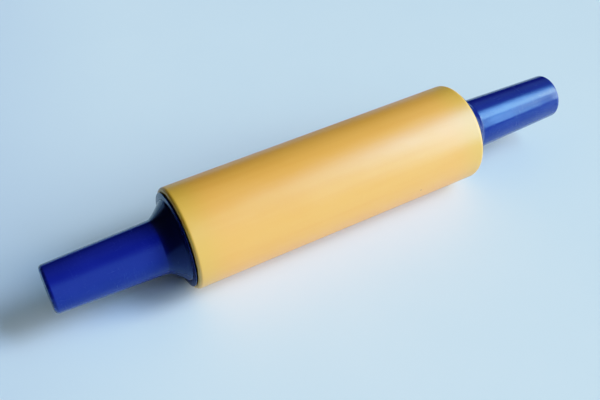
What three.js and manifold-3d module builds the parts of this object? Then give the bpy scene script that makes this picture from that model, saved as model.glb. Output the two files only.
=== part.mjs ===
// A children's dough roller. A plastic sleeve turns freely on a steel spindle between two handles.
// Millimetres, +Z up. The axis of the sleeve lies along X, above the surface that the sleeve rests
// on, and the origin is on that surface under the middle of the sleeve.

import * as THREE from 'three';
import { mergeVertices } from 'three/addons/utils/BufferGeometryUtils.js';
import Module from 'manifold-3d';

const wasm = await Module();
wasm.setup();

// Clearances: between seated pieces, round the turning spindle, and along it at each running face
const seatGap = 0.2;
const runningGap = 0.15;
const endPlay = 0.2;
const flangeGap = 0.3;

// One overrun for every cut that runs past a face
const overrun = 1;

// Sleeve: the yellow tube, with a shallow counterbore at each end for its hub
const sleeveRadius = 20.5;
const sleeveLength = 128.5;
const sleeveWall = 2.5;
const sleeveEdgeRound = 1.5;
const counterboreStep = 0.5;
const counterboreDepth = 9;
const sleeveBore = sleeveRadius - sleeveWall;
const counterbore = sleeveBore + counterboreStep;

// Spindle: a steel rod with two flats and a tapped hole at each end
const spindleRadius = 4;
const spindleFlatHalf = 3.2;
const spindleChamfer = 0.5;

// Bush: a flanged plain bearing on the spindle
const bushWall = 1.85;
const bushFlangeWidth = 2;
const bushFlangeThickness = 1.2;
const bushChamfer = 0.4;
const bushBore = spindleRadius + runningGap;
const bushRadius = bushBore + bushWall;
const bushFlangeRadius = bushRadius + bushFlangeWidth;

// Hub: a ribbed disc in each end of the sleeve, which holds the bush
const hubRecess = 1.5;
const hubRimWall = 1.6;
const hubWebThickness = 1.8;
const hubBossWall = 2.4;
const hubBossLength = 11;
const hubRibThickness = 1.4;
const hubRibSetback = 0.8;
const hubRibCount = 6;
const hubRadius = counterbore - seatGap;
const hubBossBore = bushRadius + seatGap;
const hubBossRadius = hubBossBore + hubBossWall;

// Thrust washer between the bush and the handle
const thrustThickness = 1;

// Screw and washer that hold each handle on the spindle
const screwRadius = 2;
const screwLength = 16;
const screwTipChamfer = 0.5;
const screwHeadRadius = 4;
const screwHeadHeight = 2.6;
const recessWidth = 0.9;
const recessSpan = 4.4;
const recessDepth = 1.3;
const screwWasherRadius = 4.5;
const screwWasherThickness = 0.8;
const tapRunout = 2;

// Handle: a flange with a thin lip, a flare, and a tapered grip that is hollow from both ends
const handleLength = 50.5;
const handleRootRadius = 10.7;
const handleTipRadius = 9.4;
const handleTipRound = 1.5;
const handleWall = 2.3;
const flangeInset = 1.6;
const lipThickness = 0.45;
const lipRound = 0.19;
const lipWidth = 2.35;
const lipRise = 0.2;
const creaseWidth = 0.35;
const creaseDepth = 0.1;
const creaseRise = 0.2;
const flareLength = 6.8;
const flareWall = 1.8;
const handleBossWall = 2.2;
const handleRibThickness = 1.6;
const handleRibCount = 6;
const socketDepth = 9;
const socketFloor = 3;
const cavityFloor = 3.8;
const flangeRadius = sleeveRadius - flangeInset;
const tipBore = handleTipRadius - handleWall;

// End cap: a disc flush with the tip, with a slotted skirt that snaps into a groove of the bore
const capThickness = 1.8;
const capSeatWidth = 0.5;
const capSkirtWall = 0.9;
const capSkirtLength = 6;
const capSlotWidth = 2;
const snapHeight = 0.35;
const snapLength = 1;
const snapSetback = 0.8;

// How the flare falls from the crease to the root of the grip: a power of the share still to go
const flarePower = 1.3;
const flareSteps = 6;

// Outline of a pan head: shares of its height and of its radius
const panHeadShares = [[0.5, 1], [0.8, 0.85], [0.95, 0.55], [1, 0.25]];

// Flat sides of each kind of round piece
const sleeveSides = 48;
const handleSides = 32;
const smallSides = 24;
const screwSides = 16;
const roundSteps = 2;

// Places along an end of the roller, measured outwards from the end of the sleeve
const hubFace = -hubRecess;
const hubBack = -counterboreDepth + seatGap;
const hubBossEnd = hubFace - hubBossLength;
const bushFlangeBack = hubFace + seatGap;
const bushFace = bushFlangeBack + bushFlangeThickness;
const bushEnd = hubBossEnd + seatGap;
const thrustBack = bushFace + endPlay;
const thrustFace = thrustBack + thrustThickness;
const handleBossFace = thrustFace + endPlay;
const spindleShoulder = handleBossFace - seatGap;
const socketEnd = handleBossFace + socketDepth;
const spindleEnd = socketEnd - seatGap;
const cavityEnd = socketEnd + socketFloor - cavityFloor;
const tipBoreEnd = socketEnd + socketFloor;
const screwWasherBack = tipBoreEnd + seatGap;
const screwHeadBack = screwWasherBack + screwWasherThickness + seatGap;
const screwTip = screwHeadBack - screwLength;
const tapEnd = screwTip - tapRunout;
const lipFace = flangeGap + lipThickness;
const lipEnd = lipFace + lipRise;
const flareStart = lipEnd + creaseRise;
const capSeat = handleLength - capThickness - seatGap;
const capBack = handleLength - capThickness;
const capSkirtEnd = capBack - capSkirtLength;
const snapStart = capSkirtEnd + snapSetback;

// Materials
const yellowPlastic = new THREE.MeshStandardMaterial({ color: 0xf0b04a, roughness: 0.45, metalness: 0 });
const bluePlastic = new THREE.MeshStandardMaterial({ color: 0x1f37a0, roughness: 0.2, metalness: 0 });
const whitePlastic = new THREE.MeshStandardMaterial({ color: 0xe6e4dc, roughness: 0.55, metalness: 0 });
const acetal = new THREE.MeshStandardMaterial({ color: 0xd8d2c0, roughness: 0.4, metalness: 0 });
const steel = new THREE.MeshStandardMaterial({ color: 0xa8abb0, roughness: 0.35, metalness: 1 });

// A closed geometry as a solid that can be joined and cut
function solidFrom(geometry) {
  geometry.deleteAttribute('normal');
  geometry.deleteAttribute('uv');
  const merged = mergeVertices(geometry);
  const corners = merged.index.array;
  const triangles = [];
  for (let i = 0; i < corners.length; i += 3) {
    const [a, b, c] = corners.slice(i, i + 3);
    const isFlat = a === b || b === c || c === a;
    if (!isFlat) triangles.push(a, b, c);
  }
  return new wasm.Manifold(new wasm.Mesh({
    numProp: 3,
    vertProperties: new Float32Array(merged.attributes.position.array),
    triVerts: new Uint32Array(triangles),
  }));
}

// A finished solid as a named mesh
function meshFrom(name, solid, material) {
  const { vertProperties, triVerts } = solid.getMesh();
  const geometry = new THREE.BufferGeometry();
  geometry.setAttribute('position', new THREE.BufferAttribute(vertProperties, 3));
  geometry.setIndex(new THREE.BufferAttribute(triVerts, 1));
  geometry.computeVertexNormals();
  const mesh = new THREE.Mesh(geometry, material);
  mesh.name = name;
  return mesh;
}

// A turned solid about X. The outline is a list of [along, radius] points that starts on the axis,
// goes round the solid from its near face to its far face, and ends on the axis. The corners of
// the flat sides lie on the stated radii, and a flat side lies at the bottom and at the top.
function turned(outline, sides) {
  const points = outline.map(([along, radius]) => new THREE.Vector2(radius, along));
  const geometry = new THREE.LatheGeometry(points, sides, Math.PI / sides);
  geometry.rotateZ(-Math.PI / 2);
  return solidFrom(geometry);
}

// The same with the flat sides, not their corners, on the stated radii: for bores, which then
// clear a shaft at any angle, and for the outside of the sleeve, which rests on one flat side
function turnedOutside(outline, sides) {
  const growth = 1 / Math.cos(Math.PI / sides);
  const grown = outline.map(([along, radius]) => [along, radius * growth]);
  return turned(grown, sides);
}

// The outline of a plain cylinder
function cylinder(radius, from, to) {
  return [[from, 0], [from, radius], [to, radius], [to, 0]];
}

// The outline of a cylinder with both edges chamfered
function chamferedCylinder(radius, from, to, chamfer) {
  return [
    [from, 0],
    [from, radius - chamfer],
    [from + chamfer, radius],
    [to - chamfer, radius],
    [to, radius - chamfer],
    [to, 0],
  ];
}

// Points of an arc in an outline. At angle 0 a point lies ahead of the centre along the axis, and
// at a quarter turn it lies outwards from the centre.
function arc(along, radius, size, from, to) {
  return Array.from({ length: roundSteps + 1 }, (_, i) => {
    const angle = from + ((to - from) * i) / roundSteps;
    return [along + size * Math.cos(angle), radius + size * Math.sin(angle)];
  });
}

// A box about the axis, from one place along it to another
function block(from, to, width, height) {
  const geometry = new THREE.BoxGeometry(to - from, width, height);
  geometry.translate((from + to) / 2, 0, 0);
  return solidFrom(geometry);
}

// Bars through the axis, so that each makes two opposite ribs or slots
function crossBars(count, thickness, span, from, to) {
  const bars = Array.from({ length: count / 2 }, (_, i) => {
    const geometry = new THREE.BoxGeometry(to - from, thickness, span);
    geometry.translate((from + to) / 2, 0, 0);
    geometry.rotateX((Math.PI * 2 * i) / count);
    return solidFrom(geometry);
  });
  return bars.reduce((joined, bar) => joined.add(bar));
}

// A ring on the axis, such as a washer
function ring(outerRadius, innerRadius, from, to, sides) {
  const hole = turnedOutside(cylinder(innerRadius, from - overrun, to + overrun), sides);
  return turned(cylinder(outerRadius, from, to), sides).subtract(hole);
}

function makeSleeve() {
  const half = sleeveLength / 2;
  const outside = turnedOutside([
    [-half, 0],
    ...arc(-half + sleeveEdgeRound, sleeveRadius - sleeveEdgeRound, sleeveEdgeRound, Math.PI, Math.PI / 2),
    ...arc(half - sleeveEdgeRound, sleeveRadius - sleeveEdgeRound, sleeveEdgeRound, Math.PI / 2, 0),
    [half, 0],
  ], sleeveSides);
  const seat = half - counterboreDepth;
  const inside = turnedOutside([
    [-half - overrun, 0],
    [-half - overrun, counterbore],
    [-seat, counterbore],
    [-seat, sleeveBore],
    [seat, sleeveBore],
    [seat, counterbore],
    [half + overrun, counterbore],
    [half + overrun, 0],
  ], sleeveSides);
  return outside.subtract(inside);
}

function makeSpindle() {
  const half = sleeveLength / 2;
  const end = half + spindleEnd;
  const shoulder = half + spindleShoulder;
  const rod = turned(chamferedCylinder(spindleRadius, -end, end, spindleChamfer), smallSides);
  const flatHeight = spindleRadius - spindleFlatHalf + overrun;
  const flats = [-1, 1].flatMap((side) => [-1, 1].map((face) => {
    const flatLength = end - shoulder + overrun;
    const geometry = new THREE.BoxGeometry(flatLength, 2 * (spindleRadius + overrun), flatHeight);
    geometry.translate(side * (shoulder + flatLength / 2), 0, face * (spindleFlatHalf + flatHeight / 2));
    return solidFrom(geometry);
  }));
  const tapRadius = screwRadius + seatGap;
  const rightTap = turnedOutside(cylinder(tapRadius, half + tapEnd, end + overrun), screwSides);
  const leftTap = turnedOutside(cylinder(tapRadius, -end - overrun, -half - tapEnd), screwSides);
  return [...flats, rightTap, leftTap].reduce((left, cut) => left.subtract(cut), rod);
}

function makeHub() {
  const body = turned(cylinder(hubRadius, hubBack, hubFace), sleeveSides);
  const boss = turned(cylinder(hubBossRadius, hubBossEnd, hubFace), handleSides);
  const webBack = hubFace - hubWebThickness;
  const ribs = crossBars(hubRibCount, hubRibThickness, 2 * hubRadius, hubBack + hubRibSetback, hubFace);
  const pocket = turnedOutside(cylinder(hubRadius - hubRimWall, hubBack - overrun, webBack), sleeveSides);
  const bore = turnedOutside(cylinder(hubBossBore, hubBossEnd - overrun, hubFace + overrun), smallSides);
  return body.subtract(pocket.subtract(ribs)).add(boss).subtract(bore);
}

function makeBush() {
  const body = turned([
    [bushEnd, 0],
    [bushEnd, bushRadius - bushChamfer],
    [bushEnd + bushChamfer, bushRadius],
    [bushFlangeBack, bushRadius],
    [bushFlangeBack, bushFlangeRadius],
    [bushFace, bushFlangeRadius],
    [bushFace, 0],
  ], smallSides);
  const bore = turnedOutside(cylinder(bushBore, bushEnd - overrun, bushFace + overrun), smallSides);
  return body.subtract(bore);
}

function makeScrew() {
  const shank = turned([
    [screwTip, 0],
    [screwTip, screwRadius - screwTipChamfer],
    [screwTip + screwTipChamfer, screwRadius],
    [screwHeadBack, screwRadius],
    [screwHeadBack, screwHeadRadius],
    ...panHeadShares.map(([height, out]) => [
      screwHeadBack + height * screwHeadHeight,
      out * screwHeadRadius,
    ]),
    [screwHeadBack + screwHeadHeight, 0],
  ], screwSides);
  const headTop = screwHeadBack + screwHeadHeight;
  const recess = crossBars(4, recessWidth, recessSpan, headTop - recessDepth, headTop + overrun);
  return shank.subtract(recess);
}

// A point of the flare, at a share of the way from the crease to the root of the grip, and set
// in from the surface by an inset that is square to it
function flarePoint(share, inset) {
  const fall = flangeRadius - lipWidth - creaseWidth - handleRootRadius;
  const along = flareStart + share * flareLength;
  const radius = handleRootRadius + fall * (1 - share) ** flarePower;
  const slope = ((flarePower * fall) / flareLength) * (1 - share) ** (flarePower - 1);
  const scale = inset / Math.hypot(1, slope);
  return [along - slope * scale, radius - scale];
}

// The whole flare, or the wall inside it
function flareOutline(inset) {
  return Array.from({ length: flareSteps + 1 }, (_, i) => flarePoint(i / flareSteps, inset));
}

function handleOutside() {
  const creaseOuter = flangeRadius - lipWidth;
  const tipCentre = handleLength - handleTipRound;
  return turned([
    [flangeGap, 0],
    ...arc(flangeGap + lipRound, flangeRadius - lipRound, lipRound, Math.PI, Math.PI / 2),
    ...arc(lipFace - lipRound, flangeRadius - lipRound, lipRound, Math.PI / 2, 0),
    [lipEnd, creaseOuter],
    [lipEnd - creaseDepth, creaseOuter - creaseWidth / 2],
    ...flareOutline(0),
    ...arc(tipCentre, handleTipRadius - handleTipRound, handleTipRound, Math.PI / 2, 0),
    [handleLength, 0],
  ], handleSides);
}

// The space between the flare's wall and the boss, which the ribs divide
function handleCavity() {
  const wall = flareOutline(flareWall);
  const [, mouthRadius] = wall[0];
  const floorRadius = handleRootRadius - flareWall;
  const space = turned([
    [flangeGap - overrun, 0],
    [flangeGap - overrun, mouthRadius],
    ...wall,
    [cavityEnd, floorRadius],
    [cavityEnd, 0],
  ], handleSides);
  const bossRadius = spindleRadius + seatGap + handleBossWall;
  const boss = turned(cylinder(bossRadius, handleBossFace, cavityEnd + overrun), smallSides);
  const ribs = crossBars(
    handleRibCount, handleRibThickness, 2 * flangeRadius, handleBossFace, cavityEnd + overrun,
  );
  return space.subtract(boss).subtract(ribs);
}

// The keyed socket for the end of the spindle
function handleSocket() {
  const round = turnedOutside(
    cylinder(spindleRadius + seatGap, handleBossFace - overrun, socketEnd), smallSides,
  );
  const across = 2 * (spindleRadius + overrun);
  const betweenFlats = block(handleBossFace - overrun, socketEnd, across, 2 * (spindleFlatHalf + seatGap));
  return round.intersect(betweenFlats);
}

// The bore from the tip, with the groove for the cap's snap and the seat for its disc
function handleTipBore() {
  const grooveStart = snapStart - seatGap;
  const grooveEnd = snapStart + snapLength + seatGap;
  return turnedOutside([
    [tipBoreEnd, 0],
    [tipBoreEnd, tipBore],
    [grooveStart, tipBore],
    [grooveStart, tipBore + snapHeight],
    [grooveEnd, tipBore + snapHeight],
    [grooveEnd, tipBore],
    [capSeat, tipBore],
    [capSeat, tipBore + capSeatWidth],
    [handleLength + overrun, tipBore + capSeatWidth],
    [handleLength + overrun, 0],
  ], handleSides);
}

function makeHandle() {
  const screwHole = turnedOutside(
    cylinder(screwRadius + seatGap, socketEnd - overrun, tipBoreEnd + overrun), screwSides,
  );
  return handleOutside()
    .subtract(handleCavity())
    .subtract(handleSocket())
    .subtract(screwHole)
    .subtract(handleTipBore());
}

function makeEndCap() {
  const skirtRadius = tipBore - seatGap;
  const discRadius = tipBore + capSeatWidth - seatGap;
  const snapMiddle = snapStart + snapLength / 2;
  const body = turned([
    [capSkirtEnd, 0],
    [capSkirtEnd, skirtRadius],
    [snapStart, skirtRadius],
    [snapMiddle, skirtRadius + snapHeight],
    [snapStart + snapLength, skirtRadius],
    [capBack, skirtRadius],
    [capBack, discRadius],
    [handleLength, discRadius],
    [handleLength, 0],
  ], handleSides);
  const inside = turnedOutside(
    cylinder(skirtRadius - capSkirtWall, capSkirtEnd - overrun, capBack), handleSides,
  );
  const slots = crossBars(4, capSlotWidth, 2 * (tipBore + snapHeight), capSkirtEnd - overrun, capBack);
  return body.subtract(inside).subtract(slots);
}

// Everything at one end of the sleeve, on a group whose +X points outwards
function makeEnd(side) {
  const thrustBore = spindleRadius + seatGap;
  const washerBore = screwRadius + seatGap;
  const washerFace = screwWasherBack + screwWasherThickness;
  const thrustWasher = ring(bushFlangeRadius, thrustBore, thrustBack, thrustFace, smallSides);
  const screwWasher = ring(screwWasherRadius, washerBore, screwWasherBack, washerFace, screwSides);
  const end = new THREE.Group();
  end.add(
    meshFrom(`${side}_sleeve_hub`, makeHub(), whitePlastic),
    meshFrom(`${side}_bush`, makeBush(), acetal),
    meshFrom(`${side}_thrust_washer`, thrustWasher, acetal),
    meshFrom(`${side}_handle`, makeHandle(), bluePlastic),
    meshFrom(`${side}_screw_washer`, screwWasher, steel),
    meshFrom(`${side}_screw`, makeScrew(), steel),
    meshFrom(`${side}_end_cap`, makeEndCap(), bluePlastic),
  );
  return end;
}

const roller = new THREE.Group();
roller.position.z = sleeveRadius;
roller.add(
  meshFrom('roller_sleeve', makeSleeve(), yellowPlastic),
  meshFrom('spindle', makeSpindle(), steel),
);

const rightEnd = makeEnd('right');
rightEnd.position.x = sleeveLength / 2;
roller.add(rightEnd);

const leftEnd = makeEnd('left');
leftEnd.position.x = -sleeveLength / 2;
leftEnd.rotation.z = Math.PI;
roller.add(leftEnd);

const part = new THREE.Group();
part.add(roller);

export default part;
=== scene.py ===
"""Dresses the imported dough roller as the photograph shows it.

Lengths are millimetres until a mesh is filled, and metres from there on. The axis of the roller
lies along X. Round pieces are drawn as outlines of (along, radius) points. At an end of the
roller, along is measured outwards from the end of the sleeve, and both ends have the same
outlines. An object's surface is first made at the origin, and then put in its place.
"""

import logging
import math
from dataclasses import dataclass
from enum import Enum
from typing import Optional, Union

import bpy
import numpy as np
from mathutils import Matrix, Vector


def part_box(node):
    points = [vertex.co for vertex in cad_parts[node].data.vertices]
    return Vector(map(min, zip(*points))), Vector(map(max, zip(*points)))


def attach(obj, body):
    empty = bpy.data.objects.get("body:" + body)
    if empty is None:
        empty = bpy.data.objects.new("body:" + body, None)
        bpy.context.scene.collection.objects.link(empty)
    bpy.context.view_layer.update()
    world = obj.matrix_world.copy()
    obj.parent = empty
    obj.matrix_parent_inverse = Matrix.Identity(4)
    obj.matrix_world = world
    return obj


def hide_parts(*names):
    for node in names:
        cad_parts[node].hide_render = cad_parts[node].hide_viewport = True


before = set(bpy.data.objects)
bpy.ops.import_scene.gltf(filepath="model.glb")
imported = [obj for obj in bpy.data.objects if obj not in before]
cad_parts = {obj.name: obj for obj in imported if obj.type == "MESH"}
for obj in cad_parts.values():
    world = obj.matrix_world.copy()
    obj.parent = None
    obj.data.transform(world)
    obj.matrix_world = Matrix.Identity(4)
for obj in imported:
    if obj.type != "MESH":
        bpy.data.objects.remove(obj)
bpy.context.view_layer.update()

LOG = logging.getLogger("dough_roller")
MM = 0.001
TINY = 1e-9
SHARP_ANGLE = math.radians(32)
FULL_TURN = 2 * math.pi

# The middle value of soft random patches, the values between which they mostly lie, and how
# strong each smaller detail is beside the one before
PATCH_MIDDLE = 0.5
PATCH_LOW = 0.3
PATCH_HIGH = 0.7
PATCH_ROUGHNESS = 0.55

# The numbers of a Mix node's colours and result, and of the curve that all channels share
MIX_FIRST = 6
MIX_SECOND = 7
MIX_RESULT = 2
COMBINED_CURVE = 3

Colour = tuple[float, float, float]
Triple = tuple[float, float, float]
Socket = bpy.types.NodeSocket
Value = Union[float, Socket]
Inputs = dict[Union[int, str], object]


class Side(Enum):
    """An end of the roller, with the sign of X at that end."""

    LEFT = -1
    RIGHT = 1

    @property
    def label(self) -> str:
        """The word that starts the names of this end's pieces."""
        return self.name.lower()


class Body(Enum):
    """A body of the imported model, which pieces ride on."""

    CORE = "core"
    SLEEVE = "sleeve"


class Pole(Enum):
    """Whether the last row of an outline joins its first, or both lie on the axis."""

    CLOSED = "closed"
    ON_AXIS = "on axis"


# Surfaces


@dataclass(frozen=True)
class Surface:
    """Points in millimetres, and blocks of faces with the same number of corners."""

    points: np.ndarray
    faces: tuple[np.ndarray, ...]

    def moved(self, turn: np.ndarray, shift: np.ndarray) -> "Surface":
        """Turns the surface, and then shifts it.

        Args:
            turn: A 3 by 3 matrix.
            shift: Three lengths.

        Returns:
            The moved surface.
        """
        return Surface(self.points @ turn.T + shift, self.faces)


def joined(surfaces: list[Surface]) -> Surface:
    """Puts several surfaces into one.

    Args:
        surfaces: Closed surfaces.

    Returns:
        One surface, with the face numbers of each moved past the points before it.
    """
    counts = np.array([len(surface.points) for surface in surfaces])
    starts = np.cumsum(counts) - counts
    points = np.concatenate([surface.points for surface in surfaces])
    blocks = [
        block + start for surface, start in zip(surfaces, starts) for block in surface.faces
    ]
    return Surface(points, tuple(blocks))


def rounded(corners: list[list[float]], radii: list[float], steps: int = 6) -> np.ndarray:
    """Rounds the corners of an outline.

    Each corner gives way to an arc that touches both of its sides: the centre lies on the line
    that halves the corner, and the arc turns from one tangent point to the other.

    Args:
        corners: The (along, radius) points of the outline.
        radii: The radius of each corner's arc, and 0 for a corner that stays sharp.
        steps: The straight pieces in an arc.

    Returns:
        The outline as an array of (along, radius) rows.
    """
    place = np.array(corners, float)
    size = np.array(radii, float)[:, None]
    before = np.roll(place, 1, axis=0) - place
    after = np.roll(place, -1, axis=0) - place
    before /= np.linalg.norm(before, axis=1, keepdims=True)
    after /= np.linalg.norm(after, axis=1, keepdims=True)
    opening = np.arccos(np.clip((before * after).sum(axis=1, keepdims=True), -1, 1)) / 2
    middle = before + after
    middle /= np.maximum(np.linalg.norm(middle, axis=1, keepdims=True), TINY)
    centre = place + middle * size / np.sin(opening)
    start = place + before * size / np.tan(opening) - centre
    end = place + after * size / np.tan(opening) - centre
    share = np.linspace(0, 1, steps + 1)[None, :, None]
    chord = start[:, None] * (1 - share) + end[:, None] * share
    length = np.linalg.norm(chord, axis=2, keepdims=True)
    arc = chord / np.maximum(length, TINY) * size[:, None]
    points = (centre[:, None] + arc).reshape(-1, 2)
    gaps = np.linalg.norm(points - np.roll(points, 1, axis=0), axis=1)
    return points[gaps > TINY]


def skin(along: np.ndarray, radius: np.ndarray, pole: Pole) -> Surface:
    """Covers a grid of places round the axis with faces.

    The point of a row and a column lies at (along, radius cos a, radius sin a), where a is the
    share of a full turn that the column has reached. A row on the axis shrinks to one point.

    Args:
        along: Places along the axis, by row and column.
        radius: Distances from the axis, by row and column.
        pole: Whether the last row joins the first.

    Returns:
        A closed surface, whose faces point away from the solid when the outline runs along +X
        on the outside.
    """
    rows, columns = radius.shape
    angle = np.arange(columns) * FULL_TURN / columns
    grid = np.stack((along, radius * np.cos(angle), radius * np.sin(angle)), axis=-1)
    on_axis = radius.max(axis=1) < TINY
    width = np.where(on_axis, 1, columns)
    first = np.cumsum(width) - width
    number = first[:, None] + np.where(on_axis[:, None], 0, np.arange(columns))
    kept = ~on_axis[:, None] | (np.arange(columns) == 0)
    closed = pole is Pole.CLOSED
    near = number if closed else number[:-1]
    far = np.roll(number, -1, axis=0) if closed else number[1:]
    corners = (near, np.roll(near, -1, axis=1), np.roll(far, -1, axis=1), far)
    faces = np.stack(corners, axis=-1).reshape(-1, 4)
    starts = faces[:, 0] == faces[:, 1]
    ends = faces[:, 2] == faces[:, 3]
    triangles = np.concatenate((faces[starts][:, [0, 2, 3]], faces[ends][:, [0, 1, 2]]))
    blocks = (faces[~starts & ~ends], triangles)
    return Surface(grid[kept], tuple(block for block in blocks if len(block)))


def turned(
    outline: np.ndarray,
    columns: int,
    pole: Pole = Pole.CLOSED,
    flat: Optional[np.ndarray] = None,
) -> Surface:
    """Turns an outline about the axis.

    Where a row has flats, its radius at the angle a is at most flat / |sin a|, which cuts the
    round at that height above and below the axis.

    Args:
        outline: Rows of (along, radius).
        columns: Points round the axis.
        pole: Whether the outline is closed, or starts and ends on the axis.
        flat: The half height between the flats for each row, and infinity where there are none.

    Returns:
        The turned surface.
    """
    radius = np.repeat(outline[:, 1:], columns, axis=1)
    if flat is not None:
        angle = np.arange(columns) * FULL_TURN / columns
        radius = np.minimum(radius, flat[:, None] / np.maximum(np.abs(np.sin(angle)), TINY))
    along = np.repeat(outline[:, :1], columns, axis=1)
    return skin(along, radius, pole)


def swept(grid: np.ndarray) -> Surface:
    """Covers a closed outline that is carried along an open path, with a face at each end.

    Args:
        grid: Points by place in the outline, place on the path and coordinate.

    Returns:
        A closed surface.
    """
    rows, columns = grid.shape[:2]
    number = np.arange(rows * columns).reshape(rows, columns)
    far = np.roll(number, -1, axis=0)
    corners = (number[:, :-1], number[:, 1:], far[:, 1:], far[:, :-1])
    sides = np.stack(corners, axis=-1).reshape(-1, 4)
    return Surface(grid.reshape(-1, 3), (sides, number[None, :, 0], number[None, ::-1, -1]))


def part_turned(outline: np.ndarray, start: float, end: float, columns: int) -> Surface:
    """Turns a closed outline about the axis through part of a turn.

    A point (along, radius) goes to (along, radius cos a, radius sin a), where a runs evenly
    from start to end.

    Args:
        outline: Rows of (along, radius).
        start: The first angle, in radians.
        end: The last angle, in radians.
        columns: Points round the axis.

    Returns:
        A closed surface.
    """
    angle = np.linspace(start, end, columns)[None, :]
    along = np.repeat(outline[:, :1], columns, axis=1)
    radius = outline[:, 1:]
    return swept(np.stack((along, radius * np.cos(angle), radius * np.sin(angle)), axis=-1))


def plates(outline: np.ndarray, thickness: float, count: int) -> list[Surface]:
    """Makes flat plates that stand round the axis like spokes.

    A point (along, radius) of a plate at the angle a goes to (along, radius cos a - s sin a,
    radius sin a + s cos a), where s is half the thickness to either side.

    Args:
        outline: Rows of (along, radius).
        thickness: The thickness of a plate.
        count: How many plates share the turn.

    Returns:
        One closed surface for each plate.
    """
    across = np.array([-thickness / 2, thickness / 2])[None, :]
    along = np.repeat(outline[:, :1], 2, axis=1)
    radius = outline[:, 1:]
    return [
        swept(
            np.stack(
                (
                    along,
                    radius * math.cos(angle) - across * math.sin(angle),
                    radius * math.sin(angle) + across * math.cos(angle),
                ),
                axis=-1,
            )
        )
        for angle in np.arange(count) * FULL_TURN / count
    ]


def filled_mesh(name: str, surface: Surface) -> bpy.types.Mesh:
    """Puts a surface into a mesh in metres, shaded smooth between its sharp edges.

    Args:
        name: The name of the mesh.
        surface: The surface in millimetres.

    Returns:
        The mesh.
    """
    corners = np.concatenate([block.ravel() for block in surface.faces])
    sizes = np.concatenate([np.full(len(block), block.shape[1]) for block in surface.faces])
    mesh = bpy.data.meshes.new(name)
    mesh.vertices.add(len(surface.points))
    mesh.vertices.foreach_set("co", (surface.points * MM).astype(np.float32).ravel())
    mesh.loops.add(len(corners))
    mesh.loops.foreach_set("vertex_index", corners.astype(np.int32))
    mesh.polygons.add(len(sizes))
    mesh.polygons.foreach_set("loop_start", (np.cumsum(sizes) - sizes).astype(np.int32))
    mesh.polygons.foreach_set("use_smooth", np.ones(len(sizes), bool))
    mesh.update(calc_edges=True)
    mesh.validate()
    mesh.set_sharp_from_angle(angle=SHARP_ANGLE)
    return mesh


# Finishes


class Nodes:
    """Short calls for adding nodes to a material or to the world."""

    def __init__(self, tree: bpy.types.NodeTree) -> None:
        """Takes the tree that the nodes go into."""
        self.tree = tree

    def node(self, kind: str, inputs: Inputs, **settings: object) -> bpy.types.Node:
        """Adds a node.

        Args:
            kind: The node's type.
            inputs: What each input gets: a socket to link, or a value to set.
            settings: The node's own settings.

        Returns:
            The node.
        """
        made = self.tree.nodes.new(kind)
        for name, setting in settings.items():
            setattr(made, name, setting)
        for name, value in inputs.items():
            if isinstance(value, Socket):
                self.tree.links.new(value, made.inputs[name])
            else:
                made.inputs[name].default_value = value
        return made

    def math(self, work: str, first: Value, second: Value = 0.0) -> Socket:
        """Works on two values, or on one.

        Args:
            work: The name of the work.
            first: The first value.
            second: The second value, where the work takes two.

        Returns:
            The result.
        """
        return self.node("ShaderNodeMath", {0: first, 1: second}, operation=work).outputs[0]

    def sum(self, first: Value, second: Value) -> Socket:
        """Adds two values."""
        return self.math("ADD", first, second)

    def product(self, first: Value, second: Value) -> Socket:
        """Multiplies two values."""
        return self.math("MULTIPLY", first, second)

    def between(
        self, value: Value, start: float, end: float, low: float = 0.0, high: float = 1.0,
    ) -> Socket:
        """Maps a range of a value to another, smoothly, and holds it beyond the range.

        Args:
            value: The value.
            start: Where the range starts.
            end: Where the range ends.
            low: The result at the start.
            high: The result at the end.

        Returns:
            The mapped value.
        """
        made = self.node(
            "ShaderNodeMapRange",
            {"Value": value, "From Min": start, "From Max": end, "To Min": low, "To Max": high},
            interpolation_type="SMOOTHSTEP",
        )
        return made.outputs[0]

    def apart(self, vector: Socket) -> tuple[Socket, Socket, Socket]:
        """Takes a vector apart into its coordinates."""
        made = self.node("ShaderNodeSeparateXYZ", {0: vector})
        return made.outputs[0], made.outputs[1], made.outputs[2]


@dataclass(frozen=True)
class Patches:
    """Soft random patches.

    The size is the length of a patch along X, Y and Z in millimetres, the detail is how much
    smaller detail the patches have, and the offset moves them, so that two of one size differ.
    """

    size: Triple
    detail: float = 2.0
    offset: float = 0.0


@dataclass(frozen=True)
class Cloud:
    """Soft random patches, mapped from a range of their values to another range."""

    patches: Patches
    start: float = PATCH_LOW
    end: float = PATCH_HIGH
    low: float = 0.0
    high: float = 1.0


@dataclass(frozen=True)
class Hairlines:
    """Fine separate lines, where soft patches are within a width of their middle value."""

    patches: Patches
    width: float


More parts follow.
